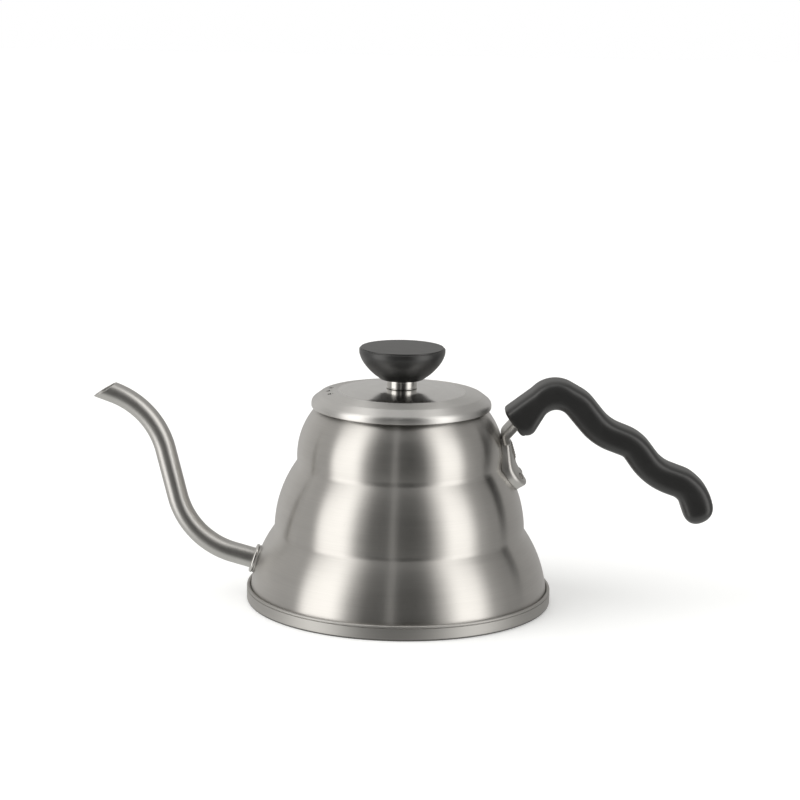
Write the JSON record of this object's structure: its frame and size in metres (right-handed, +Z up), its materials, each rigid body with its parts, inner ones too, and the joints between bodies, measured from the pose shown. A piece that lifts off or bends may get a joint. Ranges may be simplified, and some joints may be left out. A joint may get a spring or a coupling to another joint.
{
  "type": "gooseneck kettle",
  "caption": "Stove-top gooseneck kettle: lobed steel body on a base pan, slim S-shaped spout, lift-off lid with a bowl knob, and a curled black grip on a steel bracket.",
  "frame": {"origin": "centre of the flat rest face under the base pan, on the body's axis", "axes": "+Z up along the body's axis, -X towards the spout, +X towards the grip, +Y away from the side that shows the spout on the left"},
  "size_m": [0.2924, 0.144, 0.1215],
  "materials": {
    "brushed_shell": "satin, brushed round the body",
    "lid_steel": "satin crown with a brushed flank",
    "spout_steel": "satin, brushed along the tube",
    "polished_pan": "brushed round the pan, polished hem",
    "polished_steel": "polished",
    "bracket_steel": "tumbled bright",
    "plain_steel": "bright annealed",
    "screw_steel": "plain",
    "weld": "weld bead",
    "heat_disc": "plain",
    "brass": "turned",
    "phenolic": "moulded, semi-matt black"
  },
  "bodies": {
    "kettle": {"body_shell": "brushed_shell", "mouth_ring": "plain_steel", "inner_bottom": "plain_steel", "heat_disc": "heat_disc", "base_pan": "polished_pan", "spout_tube": "spout_steel", "spout_flange": "polished_steel", "spout_saddle": "plain_steel", "bracket_foot": "bracket_steel", "bracket_neck": "bracket_steel", "bracket_weld": "weld", "spot_welds": "weld", "handle_grip": "phenolic", "handle_screw": "screw_steel", "handle_washer": "screw_steel", "handle_nut": "screw_steel"},
    "lid_guide": {"lid_skirt": "plain_steel"},
    "lid": {"lid_cap": "lid_steel", "knob_ferrule": "polished_steel", "knob": "phenolic", "knob_insert": "brass", "knob_screw": "screw_steel", "knob_washer": "screw_steel"}
  },
  "joints": [
    {"name": "lid_lift", "type": "slide", "parent": "kettle", "child": "lid_guide", "axis": [0, 0, 1], "range_m": [0, 0.045]},
    {"name": "lid_turn", "type": "hinge", "parent": "lid_guide", "child": "lid", "pos_m": [0, 0, 0.1], "axis": [0, 0, 1], "continuous": true}
  ]
}
